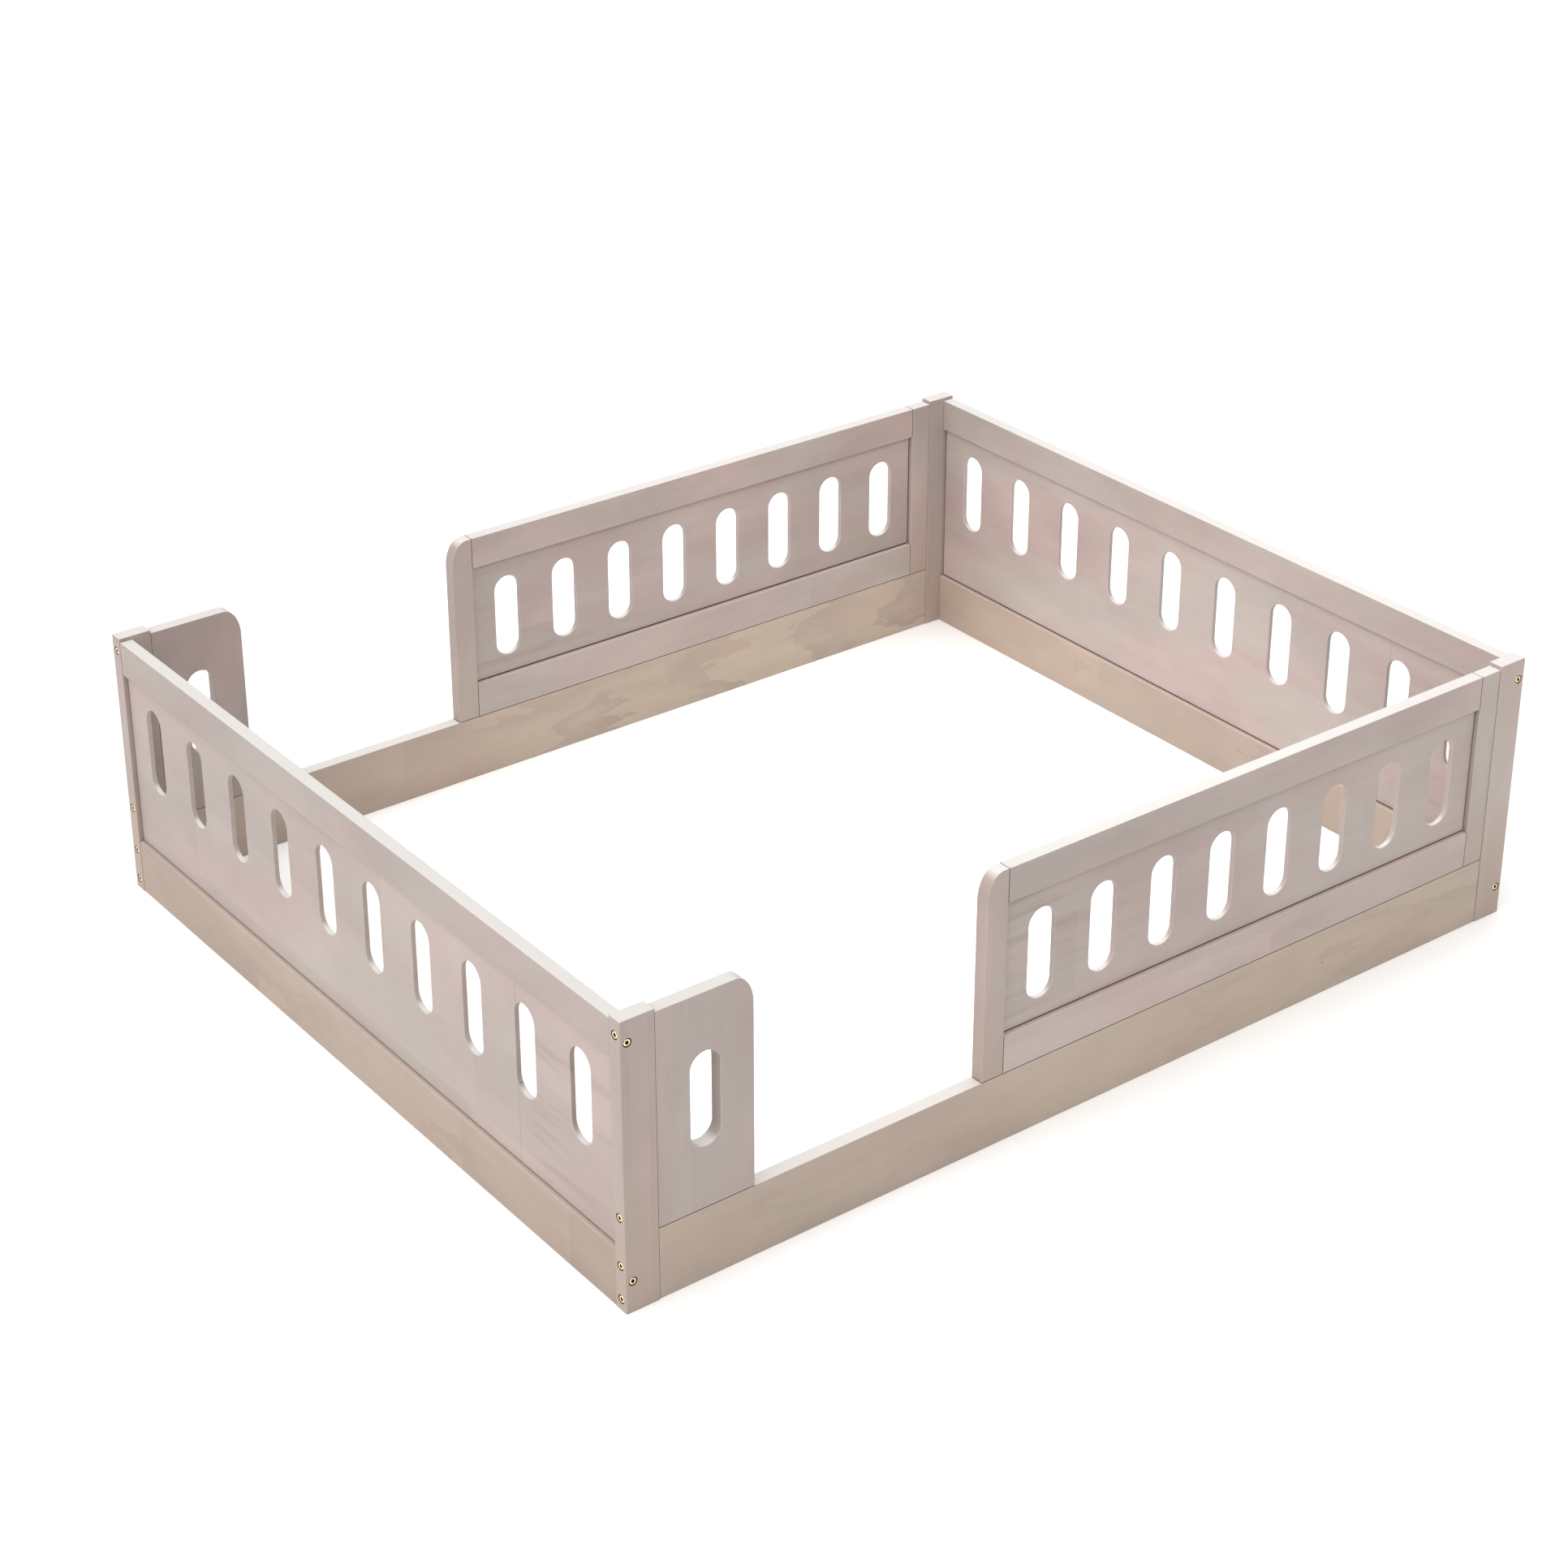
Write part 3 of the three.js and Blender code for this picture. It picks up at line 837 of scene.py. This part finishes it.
def bore(piece, cutters, seats):
    """Cuts the bolt seats out of a post and paints shade on the wood inside them."""
    joined = bmesh.new()
    for cutter in cutters:
        spare = made_mesh("spare", cutter)
        joined.from_mesh(spare)
        bpy.data.meshes.remove(spare)
    tool = added("cutter", made_mesh("cutter", joined))
    cut = piece.modifiers.new("Bolt seats", "BOOLEAN")
    cut.operation = "DIFFERENCE"
    cut.solver = "EXACT"
    cut.object = tool
    piece.modifiers.move(1, 0)
    bpy.context.view_layer.update()
    shown = piece.modifiers["Even shading"]
    shown.show_viewport = False
    bpy.context.view_layer.update()
    graph = bpy.context.evaluated_depsgraph_get()
    result = bpy.data.meshes.new_from_object(piece.evaluated_get(graph), depsgraph=graph)
    shown.show_viewport = True
    piece.modifiers.remove(cut)
    bpy.data.objects.remove(tool)
    old = piece.data
    order = GRAIN["z"]
    grain_shift = Vector(old.attributes["grain"].data[0].vector)
    grain_shift -= Vector([old.vertices[0].co[k] for k in order])
    piece.data = result
    result.name = old.name
    grain = result.attributes["grain"]
    joint = result.attributes["joint"]
    seam = result.attributes["seam"]
    wear = result.attributes["wear"]
    board = result.attributes["board"]
    for i, vert in enumerate(result.vertices):
        board.data[i].value = BOARD_TONES_AND_PAINTED_LIGHT.get(piece.name.removesuffix("_board"), 1.0)
        grain.data[i].vector = Vector([vert.co[k] for k in order]) + grain_shift
        joint.data[i].vector = NO_JOINTS
        for origin, inward in seats:
            down = (vert.co - origin).dot(inward)
            aside = (vert.co - origin - inward * down).length
            if down > -SEAT_MOUTH and aside < SEAT_RANGE:
                seam.data[i].value = 1.0 if down > -SEAT_SKIN else 0.0
                wear.data[i].value = 0.0
    result.set_sharp_from_angle(angle=CRISP_WOOD)


class PLAYPEN_OT_base_rails(bpy.types.Operator):
    """Long base rails that carry the doorway sills"""

    bl_idname = "playpen.base_rails"
    bl_label = "Make the base rails"

    def execute(self, context):
        shape = context.scene.playpen_shape
        made = 0
        for side in SIDES:
            name = "base_rail_" + side
            low, high, middle = limits(name)
            place = place_for("y", middle.y)
            points = rect(low.x, low.z, high.x, high.z, shape.board_ease, shape.ease_steps)
            points = split_edges(points, name, place)
            rows = eased_wall((high.y - low.y) / 2, shape.board_ease, shape.ease_steps)
            mesh = solid([(points, rows)], place)
            finish_piece(mesh, name, "x", wood("rail"), base_figure)
            made += 1
        return all_made(self, made, 2)


def soft_corner(points, low, high, to_right):
    """Swaps one upper corner of an outline for the long round of the doorway boards."""
    edge = high[0] if to_right else low[0]
    sign = 1.0 if to_right else -1.0
    foot = high[1] - CORNER_DROP
    kept = [p for p in points if not (abs(p.x - edge) < CORNER_RUN and p.y > foot)]
    bend = []
    for i in range(DOORWAY_STEPS + 1):
        turn = math.pi / 2 * i / DOORWAY_STEPS
        if not to_right:
            turn = math.pi / 2 - turn
        across = edge - sign * CORNER_RUN + sign * CORNER_RUN * math.cos(turn)
        bend.append(Vector((across, foot + CORNER_DROP * math.sin(turn))))
    count = len(kept)
    gaps = []
    for i in range(count):
        jump = is_gap(kept[i], kept[(i + 1) % count], edge, high[1])
        gaps.append((kept[(i + 1) % count] - kept[i]).length if jump else -1.0)
    before = gaps.index(max(gaps))
    return kept[: before + 1] + bend + kept[before + 1 :]


def is_gap(first, second, edge, top):
    """True for the slanting jump that a removed corner leaves between two outline points."""
    slants = abs(first.x - second.x) > SAME_SPOT and abs(first.y - second.y) > SAME_SPOT
    on_edge = abs(first.x - edge) < SAME_SPOT or abs(second.x - edge) < SAME_SPOT
    on_top = abs(first.y - top) < SAME_SPOT or abs(second.y - top) < SAME_SPOT
    return slants and on_edge and on_top


def opening_height(side_rails):
    """Middle height of the slots, halfway between the rails round a panel."""
    upper, lower = side_rails
    return (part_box(upper)[0].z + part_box(lower)[1].z) / 2


class PLAYPEN_OT_stub_panels(bpy.types.Operator):
    """Thick stub panels beside the doorway, each with one slot"""

    bl_idname = "playpen.stub_panels"
    bl_label = "Make the stub panels"

    def execute(self, context):
        shape = context.scene.playpen_shape
        made = 0
        for side in SIDES:
            name = "stub_panel_" + side
            low, high, middle = limits(name)
            place = place_for("y", middle.y)
            half = (high.y - low.y) / 2
            points = rect(low.x, low.z, high.x, high.z, shape.board_ease, shape.ease_steps)
            points = soft_corner(points, (low.x, low.z), (high.x, high.z), True)
            points = split_edges(points, name, place)
            level = opening_height(("top_rail_" + side, "bottom_rail_" + side))
            slot = stadium(middle.x, level, SLOT_WIDTH, SLOT_HEIGHT, shape.slot_steps)
            loops = [
                (points, eased_wall(half, shape.board_ease, shape.ease_steps)),
                (slot, eased_wall(half, shape.stub_rim, shape.ease_steps)),
            ]
            finish_piece(solid(loops, place), name, "z", wood("panel"))
            made += 1
        return all_made(self, made, 2)


class PLAYPEN_OT_stiles(bpy.types.Operator):
    """Upright stiles at the two sides of each long slotted panel"""

    bl_idname = "playpen.stiles"
    bl_label = "Make the stiles"

    def execute(self, context):
        shape = context.scene.playpen_shape
        made = 0
        for side in SIDES:
            for kind in ("gate_stile_", "post_stile_"):
                name = kind + side
                low, high, middle = limits(name)
                place = place_for("y", middle.y)
                points = rect(low.x, low.z, high.x, high.z, shape.board_ease, shape.ease_steps)
                if kind == "gate_stile_":
                    points = soft_corner(points, (low.x, low.z), (high.x, high.z), False)
                points = split_edges(points, name, place)
                rows = eased_wall((high.y - low.y) / 2, shape.board_ease, shape.ease_steps)
                mesh = solid([(points, rows)], place)
                finish_piece(mesh, name, "z", wood("post"))
                made += 1
        return all_made(self, made, 4)


class PLAYPEN_OT_rails(bpy.types.Operator):
    """Top and bottom rails of the long sides and the ends"""

    bl_idname = "playpen.rails"
    bl_label = "Make the rails"

    def execute(self, context):
        shape = context.scene.playpen_shape
        made = 0
        for level in ("top", "bottom"):
            for side in SIDES:
                name = f"{level}_rail_{side}"
                ledge = LEDGE_SHADE if level == "bottom" else 0.0
                plank(name, "x", shape, wood("panel"), ledge=ledge)
                made += 1
            for end in ENDS:
                name = f"{level}_rail_{end}"
                if level == "bottom":
                    veneer = wood("end rail")
                    plank(name, "y", shape, veneer, three_boards, LEDGE_SHADE)
                else:
                    plank(name, "y", shape, wood("panel"))
                made += 1
        return all_made(self, made, 8)


class PLAYPEN_OT_slotted_panels(bpy.types.Operator):
    """Thin slotted panels set in the frames with a shadow gap all round"""

    bl_idname = "playpen.slotted_panels"
    bl_label = "Make the slotted panels"

    def execute(self, context):
        shape = context.scene.playpen_shape
        made = 0
        for side in SIDES:
            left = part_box("gate_stile_" + side)[1].x
            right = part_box("post_stile_" + side)[0].x
            self.panel(shape, side, "y", left, right, LONG_SLOTS, LONG_MARGIN)
            made += 1
        for end in ENDS:
            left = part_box("post_front_" + end)[1].y
            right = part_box("post_back_" + end)[0].y
            self.panel(shape, end, "x", left, right, END_SLOTS, END_MARGIN)
            made += 1
        return all_made(self, made, 4)

    def panel(self, shape, side, axis, left, right, count, margin):
        name = "slotted_panel_" + side
        low, high, middle = limits(name)
        thick = "xyz".index(axis)
        half = (high[thick] - low[thick]) / 2
        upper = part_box("top_rail_" + side)[0].z
        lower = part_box("bottom_rail_" + side)[1].z
        gap = shape.shadow_gap
        points = rect(left + gap, lower + gap, right - gap, upper - gap, PANEL_CORNER, 1)
        rows = tongued_wall(half, PANEL_EASE, shape.ease_steps, gap, shape.tongue / 2)
        loops = [(points, rows)]
        first = left + margin + SLOT_WIDTH / 2
        last = right - margin - SLOT_WIDTH / 2
        level = opening_height(("top_rail_front", "bottom_rail_front"))
        for i in range(count):
            centre = first + (last - first) * i / (count - 1)
            slot = stadium(centre, level, SLOT_WIDTH, SLOT_HEIGHT, shape.slot_steps)
            loops.append((slot, eased_wall(half, shape.panel_rim, shape.ease_steps)))
        mesh = solid(loops, place_for(axis, middle[thick]))
        along = "x" if axis == "y" else "y"
        joints = near_gate if along == "x" else two_boards
        sheet = wood("panel")
        finish_piece(mesh, name, along, sheet, joints, reach=PANEL_REACH)


class PLAYPEN_OT_bolts(bpy.types.Operator):
    """Brass bolts with domed heads and hex sockets"""

    bl_idname = "playpen.bolts"
    bl_label = "Make the bolts"

    def execute(self, context):
        made = 0
        for kind, count in BOLTS:
            for side in SIDES:
                for end in ENDS:
                    for place in range(1, count + 1):
                        self.bolt(f"{kind}_bolt_{side}_{end}_{place}")
                        made += 1
        return all_made(self, made, 24)

    def bolt(self, name):
        origin, inward = bolt_axis(name)
        low, high = shown_box(name)
        long = max(high - low)
        rng = random.Random("turn " + name)
        twist = rng.uniform(0, HEXAGON_SIDE)

        def hexagon(turn):
            part = (turn + twist) % HEXAGON_SIDE - math.pi / 6
            return math.cos(math.pi / 6) / math.cos(part)

        socket = SOCKET_RADIUS
        rings = [
            (socket * 0.3, 2.2 * MM),
            (socket * 0.96, 2.0 * MM),
            (socket, 0.75 * MM),
            (socket * 1.08, 0.5 * MM),
            (HEAD_RADIUS - 2.4 * MM, 0.22 * MM),
            (HEAD_RADIUS - 2.0 * MM, 0.03 * MM),
            (HEAD_RADIUS - 1.6 * MM, 0.0),
            (HEAD_RADIUS - 1.1 * MM, 0.1 * MM),
            (HEAD_RADIUS - 0.6 * MM, 0.36 * MM),
            (HEAD_RADIUS - 0.25 * MM, 0.75 * MM),
            (HEAD_RADIUS - 0.05 * MM, 1.2 * MM),
            (HEAD_RADIUS, 1.6 * MM),
            (HEAD_RADIUS, HEAD_THICKNESS - 0.15 * MM),
            (HEAD_RADIUS - 0.15 * MM, HEAD_THICKNESS),
            (3.3 * MM, HEAD_THICKNESS),
            (SHANK_RADIUS, HEAD_THICKNESS + 0.4 * MM),
            (SHANK_RADIUS, long - 1.5 * MM),
            (1.8 * MM, long),
        ]
        shapes = {0: hexagon, 1: hexagon, 2: hexagon, 3: hexagon}
        mesh = turned(rings, HEAD_STEPS, origin, inward, shapes)
        data = made_mesh(name, mesh)
        data.shade_smooth()
        data.set_sharp_from_angle(angle=CRISP_BRASS)
        data.materials.append(stock("turned brass", turned_brass))
        data.materials.append(stock("dark socket", painted_shade_socket))
        # socket faces get the near-black brass: painted shade down in the hex socket
        for face in data.polygons:
            down = (face.center - origin).dot(inward)
            aside = (face.center - origin - inward * down).length
            if aside < socket * 0.99 and down < 2.3 * MM:
                face.material_index = 1
        piece = added(name + "_brass", data)
        piece.modifiers.new("Even shading", "WEIGHTED_NORMAL").keep_sharp = True
        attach(piece, "root")
        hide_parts(name)


class PLAYPEN_OT_dowels(bpy.types.Operator):
    """Bare beech on the dowels that pin the boards to the base rails"""

    bl_idname = "playpen.dowels"
    bl_label = "Finish the dowels"

    def execute(self, context):
        beech = stock("bare beech", bare_beech)
        made = 0
        for name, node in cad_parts.items():
            if not name.startswith("dowel_"):
                continue
            for place in node.material_slots:
                place.material = beech
            if not node.material_slots:
                raise RuntimeError(f"{name} has no material slot")
            made += 1
        return all_made(self, made, 8)


class PLAYPEN_OT_stage(bpy.types.Operator):
    """Pale floor, soft studio lights and the camera"""

    bl_idname = "playpen.stage"
    bl_label = "Set the stage"

    def execute(self, context):
        stage = context.scene.playpen_stage
        self.floor(stage)
        self.surround(context.scene, stage)
        self.canopy(stage)
        for name, spot, target, size, power in SOFTBOXES:
            self.softbox(name, Vector(spot), Vector(target), size, getattr(stage, power))
        self.camera(context.scene, stage)
        return {"FINISHED"}

    def floor(self, stage):
        mesh = bmesh.new()
        bmesh.ops.create_grid(mesh, x_segments=2, y_segments=2, size=FLOOR_SIZE)
        data = made_mesh("floor", mesh)
        floor = added("floor", data)
        floor.location.z = -FLOOR_DROP
        w = Wiring("pale floor")
        spot = w.add("ShaderNodeTexCoord", out=3)
        mottle = w.noise(w.scale(spot, (3.0, 3.0, 3.0)), 3.0, 0.6)
        dim = w.grey(w.spread(mottle, 0.2, 0.8, 0.99, 1.0))
        tone = w.blend(1.0, rgba(stage.floor_white), dim, "MULTIPLY")
        inputs = {"Base Color": tone, "Roughness": 0.8, "Specular IOR Level": 0.2}
        data.materials.append(w.shader(inputs))

    def surround(self, scene, stage):
        """A faint even glow on the wood, with a white wall all round to look at."""
        world = bpy.data.worlds.new("white studio")
        world.use_nodes = True
        nodes = world.node_tree.nodes
        links = world.node_tree.links
        glow = nodes["Background"]
        glow.inputs["Color"].default_value = WHITE
        glow.inputs["Strength"].default_value = stage.sky
        wall = nodes.new("ShaderNodeBackground")
        wall.inputs["Color"].default_value = WHITE
        ray = nodes.new("ShaderNodeLightPath")
        mix = nodes.new("ShaderNodeMixShader")
        links.new(ray.outputs["Is Camera Ray"], mix.inputs[0])
        links.new(glow.outputs[0], mix.inputs[1])
        links.new(wall.outputs[0], mix.inputs[2])
        links.new(mix.outputs[0], nodes["World Output"].inputs["Surface"])
        scene.world = world
        scene.view_settings.view_transform = "Standard"

    def canopy(self, stage):
        light = bpy.data.lights.new("overhead canopy", "SUN")
        light.energy = stage.overhead
        light.angle = math.radians(stage.softness)
        holder = added("overhead canopy", light)
        holder.rotation_mode = "QUATERNION"
        holder.rotation_quaternion = Vector(CANOPY_AIM).to_track_quat("-Z", "Y")

    def softbox(self, name, spot, target, size, power):
        light = bpy.data.lights.new(name, "AREA")
        light.shape = "SQUARE"
        light.size = size
        light.energy = power
        holder = added(name, light)
        holder.location = spot
        holder.rotation_mode = "QUATERNION"
        holder.rotation_quaternion = (target - spot).to_track_quat("-Z", "Y")
        holder.visible_camera = False

    def camera(self, scene, stage):
        turn = math.radians(stage.azimuth)
        rise = math.radians(stage.elevation)
        back = Vector(
            (math.sin(turn) * math.cos(rise), -math.cos(turn) * math.cos(rise), math.sin(rise))
        )
        view = bpy.data.cameras.new("camera")
        view.sensor_width = SENSOR_WIDTH
        view.lens = stage.lens
        view.clip_end = FARTHEST
        view.shift_y = stage.rise
        holder = added("camera", view)
        holder.location = Vector((stage.aim_x, stage.aim_y, 0.0)) + back * stage.distance
        holder.rotation_mode = "QUATERNION"
        holder.rotation_quaternion = (-back).to_track_quat("-Z", "Y")
        scene.camera = holder


STEPS = (
    PLAYPEN_OT_posts,
    PLAYPEN_OT_base_rails,
    PLAYPEN_OT_stub_panels,
    PLAYPEN_OT_stiles,
    PLAYPEN_OT_rails,
    PLAYPEN_OT_slotted_panels,
    PLAYPEN_OT_bolts,
    PLAYPEN_OT_dowels,
    PLAYPEN_OT_stage,
)


class PLAYPEN_PT_tools(bpy.types.Panel):
    """Playpen settings and steps in the sidebar"""

    bl_label = "Playpen"
    bl_idname = "PLAYPEN_PT_tools"
    bl_space_type = "VIEW_3D"
    bl_region_type = "UI"
    bl_category = "Playpen"

    def draw(self, context):
        layout = self.layout
        for group in ("playpen_shape", "playpen_finish", "playpen_stage"):
            settings = getattr(context.scene, group)
            box = layout.box()
            for key in settings.bl_rna.properties.keys():
                if key not in ("rna_type", "name"):
                    box.prop(settings, key)
        for step in STEPS:
            layout.operator(step.bl_idname)


CLASSES = (PlaypenShape, PlaypenFinish, PlaypenStage, *STEPS, PLAYPEN_PT_tools)


def register():
    for item in CLASSES:
        bpy.utils.register_class(item)
    bpy.types.Scene.playpen_shape = PointerProperty(type=PlaypenShape)
    bpy.types.Scene.playpen_finish = PointerProperty(type=PlaypenFinish)
    bpy.types.Scene.playpen_stage = PointerProperty(type=PlaypenStage)


def unregister():
    del bpy.types.Scene.playpen_stage
    del bpy.types.Scene.playpen_finish
    del bpy.types.Scene.playpen_shape
    for item in reversed(CLASSES):
        bpy.utils.unregister_class(item)


def main():
    register()
    bpy.ops.playpen.posts()
    bpy.ops.playpen.base_rails()
    bpy.ops.playpen.stub_panels()
    bpy.ops.playpen.stiles()
    bpy.ops.playpen.rails()
    bpy.ops.playpen.slotted_panels()
    bpy.ops.playpen.bolts()
    bpy.ops.playpen.dowels()
    bpy.ops.playpen.stage()
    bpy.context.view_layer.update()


if __name__ == "__main__":
    main()
